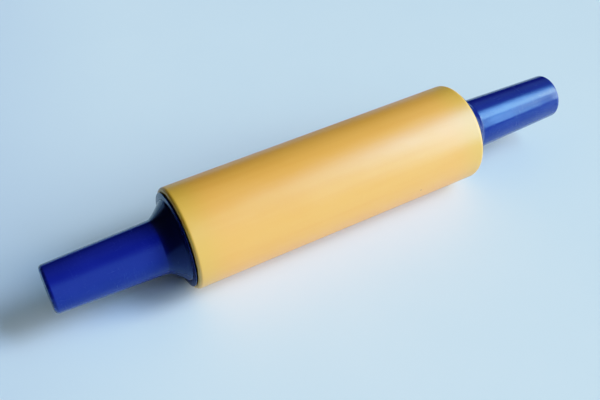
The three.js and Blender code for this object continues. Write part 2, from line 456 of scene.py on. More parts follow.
class Shading(Nodes):
    """A material, with short calls for the patterns that the finishes are wired from."""

    def __init__(self, name: str) -> None:
        """Starts the material and finds its shader.

        Args:
            name: The name of the material.
        """
        self.material = bpy.data.materials.new(name)
        self.material.use_nodes = True
        super().__init__(self.material.node_tree)
        self.shader = self.tree.nodes["Principled BSDF"]
        self.place = self.node("ShaderNodeTexCoord", {}).outputs["Object"]

    def set(self, name: str, value: object) -> None:
        """Sets or links an input of the shader.

        Args:
            name: The name of the input.
            value: A socket to link, or a value to set.
        """
        if isinstance(value, Socket):
            self.tree.links.new(value, self.shader.inputs[name])
        else:
            self.shader.inputs[name].default_value = value

    def patches(self, pattern: Patches) -> Socket:
        """Makes soft random patches.

        Args:
            pattern: What the patches are like.

        Returns:
            A value round the middle one.
        """
        scale = tuple(1 / (length * MM) for length in pattern.size)
        move = (pattern.offset, pattern.offset, pattern.offset)
        placed = self.node(
            "ShaderNodeMapping", {"Vector": self.place, "Location": move, "Scale": scale},
        )
        made = self.node(
            "ShaderNodeTexNoise",
            {
                "Vector": placed.outputs[0],
                "Scale": 1.0,
                "Detail": pattern.detail,
                "Roughness": PATCH_ROUGHNESS,
            },
        )
        return made.outputs[0]

    def cloud(self, pattern: Cloud) -> Socket:
        """Makes soft random patches with a range of their own."""
        patch = self.patches(pattern.patches)
        return self.between(patch, pattern.start, pattern.end, pattern.low, pattern.high)

    def hairlines(self, pattern: Hairlines) -> Socket:
        """Makes fine separate lines.

        Args:
            pattern: What the lines are like.

        Returns:
            1 on a line and 0 off it.
        """
        patch = self.patches(pattern.patches)
        away = self.math("ABSOLUTE", self.sum(patch, -PATCH_MIDDLE))
        return self.between(away, 0.0, pattern.width, 1.0, 0.0)

    def mixed(
        self, share: Value, first: Union[Colour, Socket], second: Union[Colour, Socket],
    ) -> Socket:
        """Mixes two colours.

        Args:
            share: How much of the second colour.
            first: The first colour.
            second: The second colour.

        Returns:
            The mixed colour.
        """
        full = [value if isinstance(value, Socket) else (*value, 1.0) for value in (first, second)]
        inputs = {0: share, MIX_FIRST: full[0], MIX_SECOND: full[1]}
        return self.node("ShaderNodeMix", inputs, data_type="RGBA").outputs[MIX_RESULT]

    def bump(self, height: Value, depth: float, below: Optional[Socket] = None) -> Socket:
        """Raises the surface by a height.

        Args:
            height: The height as a share of the depth.
            depth: The depth in millimetres.
            below: The normal that the bump is added to.

        Returns:
            The new normal.
        """
        inputs = {"Height": height, "Distance": depth * MM}
        if below is not None:
            inputs["Normal"] = below
        return self.node("ShaderNodeBump", inputs).outputs[0]

    def distance_along(self) -> Socket:
        """The distance from the middle of the roller along its axis, in metres."""
        return self.math("ABSOLUTE", self.apart(self.place)[0])

    def distance_out(self, height: float) -> Socket:
        """Works out the distance from the roller's axis.

        Args:
            height: The height of the axis above the table, in millimetres.

        Returns:
            The distance in metres.
        """
        _, across, up = self.apart(self.place)
        above = self.sum(up, -height * MM)
        return self.math("SQRT", self.sum(self.product(across, across), self.product(above, above)))


@dataclass(frozen=True)
class SleevePlastic:
    """Satin amber plastic with flow lines, smears and fine scratches.

    It has painted shade towards its ends, a colour with less red, and it is worn pale at its rims.
    The reaches are lengths inwards from an end.
    """

    colour: Colour = (0.98, 0.44, 0.092)
    deep: Colour = (0.96, 0.415, 0.082)
    mottle: Patches = Patches((34, 22, 22), detail=3.0)
    flow: Patches = Patches((70, 2.6, 2.6), offset=3.1)
    flow_depth: float = 0.03
    deep_start: float = 0.75
    deep_end: float = 1.25
    # Painted shade towards both ends: a colour with less red, so a little darker
    end_shade_colour: Colour = (0.84, 0.445, 0.080)
    end_shade_reach: float = 16.0
    rim_colour: Colour = (0.90, 0.60, 0.16)
    rim_reach: float = 1.1
    rim_wear: Cloud = Cloud(Patches((3, 4, 4), detail=3.0, offset=7.7), end=0.6)
    speck_colour: Colour = (0.16, 0.03, 0.02)
    speck_place: Triple = (33.5, -20.3, 17.2)
    speck_size: float = 0.42
    peel: Patches = Patches((0.9, 0.9, 0.9), offset=2.2)
    peel_depth: float = 0.012
    scuffs: Hairlines = Hairlines(Patches((1.1, 26, 26), detail=1.0, offset=5.3), width=0.012)
    marks: Hairlines = Hairlines(Patches((19, 2.4, 2.4), detail=1.0, offset=11.9), width=0.009)
    line_depth: float = 0.004
    roughness: float = 0.38
    smears: Cloud = Cloud(
        Patches((26, 12, 12), detail=3.0, offset=1.7), start=0.35, low=-0.03, high=0.05,
    )
    line_roughness: float = 0.1
    worn_roughness: float = 0.1
    specular: float = 0.78

    def material(self, half_length: float) -> bpy.types.Material:
        """Makes the material.

        Args:
            half_length: Half the length of the sleeve, in millimetres.

        Returns:
            The material.
        """
        shading = Shading("sleeve_plastic")
        away = shading.distance_along()
        flow = shading.patches(self.flow)
        mottle = shading.patches(self.mottle)
        tone = shading.between(shading.sum(mottle, flow), self.deep_start, self.deep_end)
        # Painted shade: full at each end of the sleeve and fading inwards over a reach
        ends = shading.between(away, (half_length - self.end_shade_reach) * MM, half_length * MM)
        rim = shading.between(away, (half_length - self.rim_reach) * MM, half_length * MM)
        worn = shading.product(rim, shading.cloud(self.rim_wear))
        colour = shading.mixed(tone, self.colour, self.deep)
        colour = shading.mixed(ends, colour, self.end_shade_colour)
        colour = shading.mixed(worn, colour, self.rim_colour)
        shading.set("Base Color", shading.mixed(self.speck(shading), colour, self.speck_colour))
        lines = shading.sum(shading.hairlines(self.scuffs), shading.hairlines(self.marks))
        line_roughness = shading.product(lines, self.line_roughness)
        rough = shading.sum(shading.sum(shading.cloud(self.smears), line_roughness), self.roughness)
        shading.set("Roughness", shading.sum(rough, shading.product(worn, self.worn_roughness)))
        peel = shading.bump(shading.patches(self.peel), self.peel_depth)
        drawn = shading.bump(flow, self.flow_depth, peel)
        shading.set("Normal", shading.bump(lines, -self.line_depth, drawn))
        shading.set("Specular IOR Level", self.specular)
        return shading.material

    def speck(self, shading: Shading) -> Socket:
        """Marks a speck of dirt that the moulding took up, with a soft edge.

        Args:
            shading: The material.

        Returns:
            1 inside the speck and 0 outside it.
        """
        place = tuple(length * MM for length in self.speck_place)
        size = self.speck_size * MM
        apart = shading.node(
            "ShaderNodeVectorMath", {0: shading.place, 1: place}, operation="DISTANCE",
        )
        return shading.between(apart.outputs["Value"], size / 2, size, 1.0, 0.0)


@dataclass(frozen=True)
class HandlePlastic:
    """Glossy ultramarine plastic with flow lines and scratches, with painted shade in the deep
    flange.

    The flange's painted shade fades out between two distances from the end of the sleeve. The edge
    of the tip is rubbed over a length along the axis, and the rubbing comes in between two depths
    inwards from its side.
    """

    colour: Colour = (0.022, 0.032, 0.185)
    pale: Colour = (0.026, 0.036, 0.205)
    tone: Cloud = Cloud(Patches((18, 14, 14)))
    flow: Patches = Patches((34, 1.9, 1.9), offset=6.2)
    flow_depth: float = 0.012
    # Painted shade in the deep flange near the sleeve: a darker blue
    flange_shade_colour: Colour = (0.018, 0.026, 0.115)
    flange_shade_reach: float = 5.5
    flange_shade_fade: float = 9.5
    rub_colour: Colour = (0.050, 0.085, 0.42)
    rub_length: float = 1.3
    rub_start: float = 1.6
    rub_full: float = 1.0
    rub_wear: Cloud = Cloud(Patches((2.2, 2.2, 2.2), detail=3.0, offset=4.4), start=0.42, end=0.62)
    round_scratches: Hairlines = Hairlines(
        Patches((1.0, 14, 14), detail=1.0, offset=2.9), width=0.010,
    )
    long_scratches: Hairlines = Hairlines(
        Patches((12, 1.6, 1.6), detail=1.0, offset=8.8), width=0.008,
    )
    scratch_depth: float = 0.003
    roughness: float = 0.14
    smears: Cloud = Cloud(
        Patches((9, 7, 7), detail=3.0, offset=9.4), start=0.40, end=0.72, high=0.09,
    )
    scratch_roughness: float = 0.12
    rub_roughness: float = 0.18
    specular: float = 0.5
    sheen_colour: Colour = (0.66, 0.89, 1.0)

    def material(self, layout: "Layout", handle: "Handle") -> bpy.types.Material:
        """Makes the material.

        Args:
            layout: Where the roller lies.
            handle: The handle, which is rubbed round the edge of its tip.

        Returns:
            The material.
        """
        shading = Shading("handle_plastic")
        away = shading.distance_along()
        rubbed = self.rubbed(shading, away, layout, handle)
        start = (layout.half_length + self.flange_shade_reach) * MM
        end = (layout.half_length + self.flange_shade_fade) * MM
        # Painted shade of the deep flange: full near the sleeve, fading outwards
        flange = shading.between(away, start, end, 1.0, 0.0)
        colour = shading.mixed(shading.cloud(self.tone), self.colour, self.pale)
        colour = shading.mixed(flange, colour, self.flange_shade_colour)
        shading.set("Base Color", shading.mixed(rubbed, colour, self.rub_colour))
        scratches = shading.sum(
            shading.hairlines(self.round_scratches), shading.hairlines(self.long_scratches),
        )
        scratched = shading.product(scratches, self.scratch_roughness)
        rough = shading.sum(shading.sum(shading.cloud(self.smears), scratched), self.roughness)
        shading.set("Roughness", shading.sum(rough, shading.product(rubbed, self.rub_roughness)))
        waves = shading.bump(shading.patches(self.flow), self.flow_depth)
        shading.set("Normal", shading.bump(scratches, -self.scratch_depth, waves))
        shading.set("Specular IOR Level", self.specular)
        shading.set("Specular Tint", (*self.sheen_colour, 1.0))
        return shading.material

    def rubbed(
        self, shading: Shading, away: Socket, layout: "Layout", handle: "Handle",
    ) -> Socket:
        """Marks the rubbed edge of the tip.

        Args:
            shading: The material.
            away: The distance from the middle of the roller along its axis, in metres.
            layout: Where the roller lies.
            handle: The handle.

        Returns:
            1 where the plastic is rubbed, and 0 where it isn't.
        """
        tip = layout.half_length + handle.length
        near_end = shading.between(away, (tip - self.rub_length) * MM, tip * MM)
        start = (handle.tip_radius - self.rub_start) * MM
        full = (handle.tip_radius - self.rub_full) * MM
        near_side = shading.between(shading.distance_out(layout.height), start, full)
        return shading.product(shading.product(near_end, near_side), shading.cloud(self.rub_wear))


@dataclass(frozen=True)
class PalePlastic:
    """A plain inner plastic with moulding or turning marks, which are long round the axis."""

    name: str
    colour: Colour
    shade: Colour
    roughness: float
    mark_width: float
    mark_depth: float
    mark_length: float = 30.0
    mark_offset: float = 3.3
    dulling: float = 0.12
    cloud: Cloud = Cloud(Patches((9, 9, 9), detail=3.0))

    def material(self) -> bpy.types.Material:
        """Makes the material.

        Returns:
            The material.
        """
        shading = Shading(self.name)
        size = (self.mark_width, self.mark_length, self.mark_length)
        marks = shading.patches(Patches(size, offset=self.mark_offset))
        dull = self.roughness + self.dulling
        tone = shading.cloud(self.cloud)
        shading.set("Base Color", shading.mixed(tone, self.colour, self.shade))
        shading.set("Roughness", shading.between(marks, PATCH_LOW, PATCH_HIGH, self.roughness, dull))
        shading.set("Normal", shading.bump(marks, self.mark_depth))
        return shading.material


@dataclass(frozen=True)
class Steel:
    """Bright steel, with fine lines in the direction of its working."""

    name: str
    colour: Colour
    shade: Colour
    roughness: float
    grain: Triple
    line_depth: float
    line_detail: float = 3.0
    line_offset: float = 1.2
    dulling: float = 0.15
    cloud: Cloud = Cloud(Patches((6, 4, 4), detail=3.0, offset=5.5), start=0.35)

    def material(self) -> bpy.types.Material:
        """Makes the material.

        Returns:
            The material.
        """
        shading = Shading(self.name)
        lines = shading.patches(Patches(self.grain, self.line_detail, self.line_offset))
        dull = self.roughness + self.dulling
        tone = shading.cloud(self.cloud)
        shading.set("Base Color", shading.mixed(tone, self.colour, self.shade))
        shading.set("Roughness", shading.between(lines, PATCH_LOW, PATCH_HIGH, self.roughness, dull))
        shading.set("Normal", shading.bump(lines, self.line_depth))
        shading.set("Metallic", 1.0)
        return shading.material


HUB_PLASTIC = PalePlastic(
    name="hub_plastic",
    colour=(0.79, 0.77, 0.71),
    shade=(0.74, 0.72, 0.65),
    roughness=0.45,
    mark_width=4.0,
    mark_depth=0.02,
)
BEARING_PLASTIC = PalePlastic(
    name="bearing_plastic",
    colour=(0.68, 0.64, 0.53),
    shade=(0.63, 0.59, 0.48),
    roughness=0.32,
    mark_width=0.25,
    mark_depth=0.006,
)
SPINDLE_STEEL = Steel(
    name="spindle_steel",
    colour=(0.55, 0.56, 0.57),
    shade=(0.48, 0.49, 0.50),
    roughness=0.22,
    grain=(14, 0.3, 0.3),
    line_depth=0.004,
)
FASTENER_STEEL = Steel(
    name="fastener_steel",
    colour=(0.58, 0.58, 0.56),
    shade=(0.50, 0.51, 0.50),
    roughness=0.30,
    grain=(0.8, 0.8, 0.8),
    line_depth=0.006,
)


@dataclass(frozen=True)
class TableTop:
    """A pale satin table, with painted shade towards its left.

    The painted shade grows with the distance along a heading that is turned from -X towards +Y.
    """

    colour: Colour = (0.792, 0.857, 0.897)
    shade: Colour = (0.778, 0.847, 0.89)
    cloud: Cloud = Cloud(Patches((70, 70, 70), detail=3.0))
    # Painted shade towards the left of the table
    left_shade_colour: Colour = (0.62, 0.70, 0.79)
    left_shade_heading: float = 15.0
    left_shade_start: float = 60.0
    left_shade_end: float = 205.0
    roughness: float = 0.38
    smears: Cloud = Cloud(Patches((40, 40, 40), detail=3.0, offset=4.6), high=0.06)
    grain: Patches = Patches((1.5, 1.5, 1.5), offset=1.1)
    grain_depth: float = 0.01

    def material(self) -> bpy.types.Material:
        """Makes the material.

        Returns:
            The material.
        """
        shading = Shading("table_top")
        bare = shading.mixed(shading.cloud(self.cloud), self.colour, self.shade)
        across, away, _ = shading.apart(shading.place)
        heading = math.radians(self.left_shade_heading)
        left = shading.sum(
            shading.product(across, -math.cos(heading)), shading.product(away, math.sin(heading)),
        )
        # Painted shade: the table's colour darkens towards its left
        dull = shading.between(left, self.left_shade_start * MM, self.left_shade_end * MM)
        shading.set("Base Color", shading.mixed(dull, bare, self.left_shade_colour))
        shading.set("Roughness", shading.sum(shading.cloud(self.smears), self.roughness))
        shading.set("Normal", shading.bump(shading.patches(self.grain), self.grain_depth))
        return shading.material


@dataclass(frozen=True)
class Finishes:
    """The materials that the pieces share."""

    sleeve: bpy.types.Material
    handle: bpy.types.Material
    hub: bpy.types.Material
    bearing: bpy.types.Material
    spindle: bpy.types.Material
    fastener: bpy.types.Material


# The sizes that pieces share


@dataclass(frozen=True)
class Clearances:
    """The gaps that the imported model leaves, in millimetres."""

    seat: float = 0.2
    running: float = 0.15
    end_play: float = 0.2
    flange: float = 0.3


GAPS = Clearances()


@dataclass(frozen=True)
class Layout:
    """Where the roller lies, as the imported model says."""

    half_length: float
    radius: float
    height: float

    @classmethod
    def measured(cls) -> "Layout":
        """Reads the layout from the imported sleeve's box.

        Returns:
            The layout in millimetres.
        """
        low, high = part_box("roller_sleeve")
        return cls(
            half_length=high.x / MM,
            radius=(high.y - low.y) / 2 / MM,
            height=(high.z + low.z) / 2 / MM,
        )

    def centred(self, surface: Surface) -> Surface:
        """Lifts a piece onto the roller's axis."""
        return surface.moved(np.eye(3), np.array([0, 0, self.height]))

    def at_end(self, surface: Surface, side: Side) -> Surface:
        """Puts a piece at an end of the sleeve.

        Args:
            surface: A piece whose X is measured outwards from the end of the sleeve.
            side: The end. The left one is the right one turned half a turn about Z.

        Returns:
            The placed piece.
        """
        sign = side.value
        turn = np.diag([sign, sign, 1.0])
        return surface.moved(turn, np.array([sign * self.half_length, 0, self.height]))


@dataclass(frozen=True)
class SpindleLine:
    """The sizes and places that the pieces on the spindle share at an end of the roller.

    The places follow one another outwards, each a gap or a thickness past the one before: the
    hub's face, the bush's flange, the thrust ring, the handle's boss, its socket, and the
    screw's washer and head.
    """

    hub_face: float = -1.5
    hub_boss_length: float = 11.0
    spindle_radius: float = 4.0
    spindle_flat: float = 3.2
    bush_wall: float = 1.85
    bush_flange_width: float = 2.0
    bush_flange_thickness: float = 1.2
    ring_thickness: float = 1.0
    socket_depth: float = 9.0
    socket_floor: float = 3.0
    washer_thickness: float = 0.8
    screw_radius: float = 2.0
    screw_length: float = 16.0

    @property
    def hub_boss_end(self) -> float:
        """The inner end of the hub's boss."""
        return self.hub_face - self.hub_boss_length

    @property
    def bush_radius(self) -> float:
        """The radius of the bush's barrel."""
        return self.spindle_radius + GAPS.running + self.bush_wall

    @property
    def bush_flange_radius(self) -> float:
        """The radius of the bush's flange and of the thrust ring."""
        return self.bush_radius + self.bush_flange_width

    @property
    def bush_flange_back(self) -> float:
        """The inner face of the bush's flange."""
        return self.hub_face + GAPS.seat

    @property
    def bush_face(self) -> float:
        """The outer face of the bush's flange."""
        return self.bush_flange_back + self.bush_flange_thickness

    @property
    def ring_back(self) -> float:
        """The inner face of the thrust ring."""
        return self.bush_face + GAPS.end_play

    @property
    def ring_face(self) -> float:
        """The outer face of the thrust ring, where the spindle's flats begin."""
        return self.ring_back + self.ring_thickness

    @property
    def boss_face(self) -> float:
        """The inner face of the handle's boss."""
        return self.ring_face + GAPS.seat

    @property
    def socket_end(self) -> float:
        """The bottom of the handle's socket."""
        return self.boss_face + self.socket_depth

    @property
    def bore_end(self) -> float:
        """The bottom of the bore from the handle's tip."""
        return self.socket_end + self.socket_floor

    @property
    def washer_back(self) -> float:
        """The inner face of the screw's washer."""
        return self.bore_end + GAPS.seat

    @property
    def washer_face(self) -> float:
        """The outer face of the screw's washer."""
        return self.washer_back + self.washer_thickness

    @property
    def head_back(self) -> float:
        """The underside of the screw's head."""
        return self.washer_face + GAPS.seat

    @property
    def screw_tip(self) -> float:
        """The inner end of the screw."""
        return self.head_back - self.screw_length

    @property
    def screw_hole(self) -> float:
        """The radius of every hole that the screw goes through."""
        return self.screw_radius + GAPS.seat


# The roller's pieces


@dataclass(frozen=True)
class Piece:
    """What a finished piece is called, rides on and stands for."""

    name: str
    node: str
    body: Body
    slot: str

    def build(self, surface: Surface, material: bpy.types.Material) -> None:
        """Makes the object and lets it ride on its body.

        Args:
            surface: The piece in its place, in millimetres.
            material: Its finish.
        """
        mesh = filled_mesh(self.name, surface)
        mesh.materials.append(material)
        made = bpy.data.objects.new(self.name, mesh)
        bpy.context.scene.collection.objects.link(made)
        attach(made, self.body.value)
        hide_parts(self.node)
        LOG.info("%s: %d faces, for %s", self.name, len(mesh.polygons), self.node)


@dataclass(frozen=True)
class Sleeve:
    """The yellow tube that rolls."""

    layout: Layout
    wall: float = 2.5
    edge_round: float = 1.5
    mouth_round: float = 0.3
    round_steps: int = 8
    step: float = 0.5
    step_depth: float = 9.0
    columns: int = 256

    @property
    def bore(self) -> float:
        """The radius of the bore."""
        return self.layout.radius - self.wall

    @property
    def mouth(self) -> float:
        """The radius of the wider seat at both ends of the bore."""
        return self.bore + self.step

    def outline(self) -> np.ndarray:
        """Draws the tube's closed outline: the outside from left to right, and the bore back.

        Returns:
            Rows of (along, radius).
        """
        half = self.layout.half_length
        radius = self.layout.radius
        seat = half - self.step_depth
        corners = [
            [-half, radius], [half, radius], [half, self.mouth], [seat, self.mouth],
            [seat, self.bore], [-seat, self.bore], [-seat, self.mouth], [-half, self.mouth],
        ]
        edge, inner = self.edge_round, self.mouth_round
        return rounded(corners, [edge, edge, inner, 0, 0, 0, 0, inner], self.round_steps)

    def build(self, finishes: Finishes) -> None:
        """Makes the sleeve.

        Args:
            finishes: The materials.
        """
        surface = self.layout.centred(turned(self.outline(), self.columns))
        piece = Piece("sleeve_tube", "roller_sleeve", Body.SLEEVE, "sleeve_plastic")
        piece.build(surface, finishes.sleeve)


@dataclass(frozen=True)
class Handle:
    """A handle: a flange with a thin lip, a flare, and a tapered grip, hollow from both ends.

    The lip slopes towards a narrow crease, and the flare starts on the crease's far side. The
    length and the snap's start are measured outwards from the end of the sleeve.
    """

    layout: Layout
    line: SpindleLine
    length: float = 50.5
    root_radius: float = 10.7
    tip_radius: float = 9.4
    tip_round: float = 1.5
    tip_round_steps: int = 10
    wall: float = 2.3
    flange_inset: float = 1.6
    lip_thickness: float = 0.45
    lip_round: float = 0.19
    lip_width: float = 2.35
    lip_rise: float = 0.2
    crease_width: float = 0.35
    crease_depth: float = 0.1
    crease_rise: float = 0.2
    crease_round: float = 0.12
    flare_length: float = 6.8
    flare_power: float = 1.3
    flare_wall: float = 1.8
    flare_steps: int = 40
    flare_crowding: int = 3
    boss_wall: float = 2.2
    cavity_floor: float = 3.8
    rib_thickness: float = 1.6
    rib_count: int = 6
    rib_root: float = 0.4
    cap_thickness: float = 1.8
    cap_seat_width: float = 0.5
    cap_seat_round: float = 0.15
    snap_start: float = 43.5
    snap_length: float = 1.0
    snap_height: float = 0.35
    columns: int = 192

    @property
    def flange_radius(self) -> float:
        """The radius of the flange's lip."""
        return self.layout.radius - self.flange_inset

    @property
    def lip_end(self) -> float:
        """Where the sloping lip ends and the crease begins."""
        return GAPS.flange + self.lip_thickness + self.lip_rise

    @property
    def boss_radius(self) -> float:
        """The radius of the boss round the socket."""
        return self.socket_radius + self.boss_wall

    @property
    def socket_radius(self) -> float:
        """The radius of the socket for the spindle's end."""
        return self.line.spindle_radius + GAPS.seat

    @property
    def cavity_end(self) -> float:
        """The floor of the space that the ribs divide."""
        return self.line.bore_end - self.cavity_floor

    @property
    def tip_bore(self) -> float:
        """The radius of the bore that the cap plugs."""
        return self.tip_radius - self.wall

    @property
    def cap_back(self) -> float:
        """The inner face of the cap's disc."""
        return self.length - self.cap_thickness

    @property
    def cap_seat(self) -> float:
        """The face that the cap's disc sits on."""
        return self.cap_back - GAPS.seat

    def flare(self, inset: float) -> np.ndarray:
        """Draws the flare from the crease to the root of the grip.

        The radius is the root's plus a fall times (1 - share) to a power, and the place along
        the axis goes evenly with the share. The rows lie closer towards the root, where the
        curve turns most. A wall is set in square to that curve.

        Args:
            inset: How far inside the surface the curve lies.

        Returns:
            Rows of (along, radius).
        """
        share = 1 - np.linspace(1, 0, self.flare_steps + 1) ** self.flare_crowding
        fall = self.flange_radius - self.lip_width - self.crease_width - self.root_radius
        along = self.lip_end + self.crease_rise + share * self.flare_length
        radius = self.root_radius + fall * (1 - share) ** self.flare_power
        slope = self.flare_power * fall / self.flare_length * (1 - share) ** (self.flare_power - 1)
        scale = inset / np.hypot(1, slope)
        return np.column_stack((along - slope * scale, radius - scale))

    def wall_radius(self, along: float) -> float:
        """The radius of the flare's inner wall at a place along the axis."""
        wall = self.flare(self.flare_wall)
        return float(np.interp(along, wall[:, 0], wall[:, 1]))

    def outside(self) -> np.ndarray:
        """Draws the outline from the back of the flange to the seat of the cap.

        Returns:
            Rows of (along, radius).
        """
        face = GAPS.flange + self.lip_thickness
        crease = self.flange_radius - self.lip_width
        lip = rounded(
            [
                [GAPS.flange, crease - self.crease_width],
                [GAPS.flange, self.flange_radius],
                [face, self.flange_radius],
                [self.lip_end, crease],
                [self.lip_end - self.crease_depth, crease - self.crease_width / 2],
            ],
            [0, self.lip_round, self.lip_round, self.crease_round, 0],
        )
        flare = self.flare(0)
        seat = self.tip_bore + self.cap_seat_width
        grip = rounded(
            [
                [flare[-1, 0], self.root_radius],
                [self.length, self.tip_radius],
                [self.length, seat],
                [self.cap_seat, seat],
            ],
            [0, self.tip_round, self.cap_seat_round, 0],
            self.tip_round_steps,
        )
        return np.concatenate((lip[1:], flare[:-1], grip))

    def inside(self) -> np.ndarray:
        """Draws the outline from the seat of the cap, down the bore and the socket, to the flange.

        Returns:
            Rows of (along, radius).
        """
        bore = self.tip_bore
        groove = bore + self.snap_height
        groove_start = self.snap_start - GAPS.seat
        groove_end = self.snap_start + self.snap_length + GAPS.seat
        corners = [
            [self.cap_seat, bore],
            [groove_end, bore],
            [groove_end, groove],
            [groove_start, groove],
            [groove_start, bore],
            [self.line.bore_end, bore],
            [self.line.bore_end, self.line.screw_hole],
            [self.line.socket_end, self.line.screw_hole],
            [self.line.socket_end, self.socket_radius],
            [self.line.boss_face, self.socket_radius],
            [self.line.boss_face, self.boss_radius],
            [self.cavity_end, self.boss_radius],
            [self.cavity_end, self.root_radius - self.flare_wall],
        ]
        wall = self.flare(self.flare_wall)[::-1]
        wall = wall[wall[:, 0] > GAPS.flange]
        mouth = [[GAPS.flange, self.wall_radius(GAPS.flange)]]
        return np.concatenate((np.array(corners), wall, mouth))

    def shell(self) -> Surface:
        """Turns the handle without its ribs, with two flats in the socket.

        Returns:
            The shell at the origin.
        """
        outline = np.concatenate((self.outside(), self.inside()))
        in_socket = np.isclose(outline[:, 1], self.socket_radius)
        flat = np.where(in_socket, self.line.spindle_flat + GAPS.seat, np.inf)
        return turned(outline, self.columns, flat=flat)

    def ribs(self) -> list[Surface]:
        """Makes the ribs between the boss and the flare, each let a little into both.

        Returns:
            The ribs at the origin.
        """
        face = self.line.boss_face
        end = self.cavity_end + self.rib_root
        inner = self.boss_radius - self.rib_root
        outer = self.root_radius - self.flare_wall + self.rib_root
        wall = self.flare(self.flare_wall - self.rib_root)
        wall = wall[(wall[:, 0] > face) & (wall[:, 0] < self.cavity_end)]
        first = [[face, inner], [face, self.wall_radius(face)]]
        last = [[end, outer], [end, inner]]
        outline = np.concatenate((first, wall, last))
        return plates(outline, self.rib_thickness, self.rib_count)

    def build(self, side: Side, finishes: Finishes) -> None:
        """Makes a handle at an end of the sleeve.

        Args:
            side: The end.
            finishes: The materials.
        """
        name = side.label
        surface = self.layout.at_end(joined([self.shell(), *self.ribs()]), side)
        piece = Piece(f"{name}_grip", f"{name}_handle", Body.CORE, "handle_plastic")
        piece.build(surface, finishes.handle)


@dataclass(frozen=True)
class EndCap:
    """The plug in the tip of a handle: a disc, and a slotted skirt that snaps into a groove.

    The stub's drop is how far its end stays below the face of the disc.
    """

    handle: Handle
    rim_round: float = 0.25
    back_round: float = 0.15
    gate_radius: float = 1.5
    gate_depth: float = 0.3
    gate_round: float = 0.2
    gate_floor_round: float = 0.15
    stub_radius: float = 0.45
    stub_drop: float = 0.1
    stub_root: float = 0.05
    stub_round: float = 0.08
    skirt_wall: float = 0.9
    skirt_length: float = 6.0
    skirt_root: float = 0.3
    skirt_round: float = 0.2
    skirt_lead: float = 0.3
    slot_width: float = 2.0
    slot_count: int = 4
    columns: int = 128

    def disc(self) -> Surface:
        """Makes the disc, with the small dimple and stub that its moulding gate left.

        Returns:
            The disc at the origin.
        """
        face = self.handle.length
        back = self.handle.cap_back
        radius = self.handle.tip_bore + self.handle.cap_seat_width - GAPS.seat
        floor = face - self.gate_depth
        stub = face - self.stub_drop
        corners = [
            [back, 0],
            [back, radius],
            [face, radius],
            [face, self.gate_radius],
            [floor, self.gate_radius - self.gate_depth],
            [floor, self.stub_radius],
            [stub, self.stub_radius],
            [stub, 0],
        ]
        radii = [
            0,
            self.back_round,
            self.rim_round,
            self.gate_round,
            self.gate_floor_round,
            self.stub_root,
            self.stub_round,
            0,
        ]
        return turned(rounded(corners, radii), self.columns, Pole.ON_AXIS)

    def skirt(self) -> list[Surface]:
        """Makes the arcs of the skirt, with the snap's ridge near their free end.

        Returns:
            The arcs at the origin.
        """
        back = self.handle.cap_back
        end = back - self.skirt_length
        outer = self.handle.tip_bore - GAPS.seat
        inner = outer - self.skirt_wall
        snap = self.handle.snap_start
        corners = [
            [end, inner],
            [end, outer],
            [snap, outer],
            [snap + self.handle.snap_length / 2, outer + self.handle.snap_height],
            [snap + self.handle.snap_length, outer],
            [back + self.skirt_root, outer],
            [back + self.skirt_root, inner],
        ]
        edge = self.skirt_round
        outline = rounded(corners, [edge, self.skirt_lead, edge, edge, edge, 0, 0])
        half_slot = self.slot_width / 2 / outer
        share = FULL_TURN / self.slot_count
        columns = self.columns // self.slot_count
        return [
            part_turned(outline, start + half_slot, start + share - half_slot, columns)
            for start in np.arange(self.slot_count) * share
        ]

    def build(self, side: Side, finishes: Finishes) -> None:
        """Makes a cap at an end of the roller.

        Args:
            side: The end.
            finishes: The materials.
        """
        name = side.label
        surface = self.handle.layout.at_end(joined([self.disc(), *self.skirt()]), side)
        piece = Piece(f"{name}_plug", f"{name}_end_cap", Body.CORE, "handle_plastic")
        piece.build(surface, finishes.handle)


@dataclass(frozen=True)
class Hub:
    """The ribbed disc in an end of the sleeve, which holds the bush."""

    sleeve: Sleeve
    line: SpindleLine
    rim_wall: float = 1.6
    web: float = 1.8
    boss_wall: float = 2.4
    rib_setback: float = 0.8
    rib_thickness: float = 1.4
    rib_count: int = 6
    rib_root: float = 0.4
    edge: float = 0.35
    fillet: float = 0.8
    columns: int = 160

    @property
    def back(self) -> float:
        """The inner end of the rim."""
        return GAPS.seat - self.sleeve.step_depth

    @property
    def radius(self) -> float:
        """The radius of the rim."""
        return self.sleeve.mouth - GAPS.seat

    @property
    def boss_bore(self) -> float:
        """The radius of the bore for the bush."""
        return self.line.bush_radius + GAPS.seat

    @property
    def boss_radius(self) -> float:
        """The radius of the boss."""
        return self.boss_bore + self.boss_wall

    def shell(self) -> Surface:
        """Turns the rim, the web and the boss as one outline, with fillets in the pocket.

        Returns:
            The shell at the origin.
        """
        face, boss_end = self.line.hub_face, self.line.hub_boss_end
        web_back = face - self.web
        pocket = self.radius - self.rim_wall
        corners = [
            [self.back, self.radius], [face, self.radius],
            [face, self.boss_bore], [boss_end, self.boss_bore],
            [boss_end, self.boss_radius], [web_back, self.boss_radius],
            [web_back, pocket], [self.back, pocket],
        ]
        edge, fillet = self.edge, self.fillet
        outline = rounded(corners, [edge, edge, edge, edge, edge, fillet, fillet, edge])
        return turned(outline, self.columns)

    def ribs(self) -> list[Surface]:
        """Makes the ribs across the pocket, each let a little into the boss, the web and the rim.

        Returns:
            The ribs at the origin.
        """
        start = self.boss_radius - self.rib_root
        end = self.radius - self.rim_wall + self.rib_root
        back = self.back + self.rib_setback
        front = self.line.hub_face - self.web + self.rib_root
        outline = np.array([[back, start], [back, end], [front, end], [front, start]])
        return plates(outline, self.rib_thickness, self.rib_count)

    def build(self, side: Side, finishes: Finishes) -> None:
        """Makes a hub at an end of the sleeve.

        Args:
            side: The end.
            finishes: The materials.
        """
        name = side.label
        surface = self.sleeve.layout.at_end(joined([self.shell(), *self.ribs()]), side)
        piece = Piece(f"{name}_hub_moulding", f"{name}_sleeve_hub", Body.SLEEVE, "hub_plastic")
        piece.build(surface, finishes.hub)


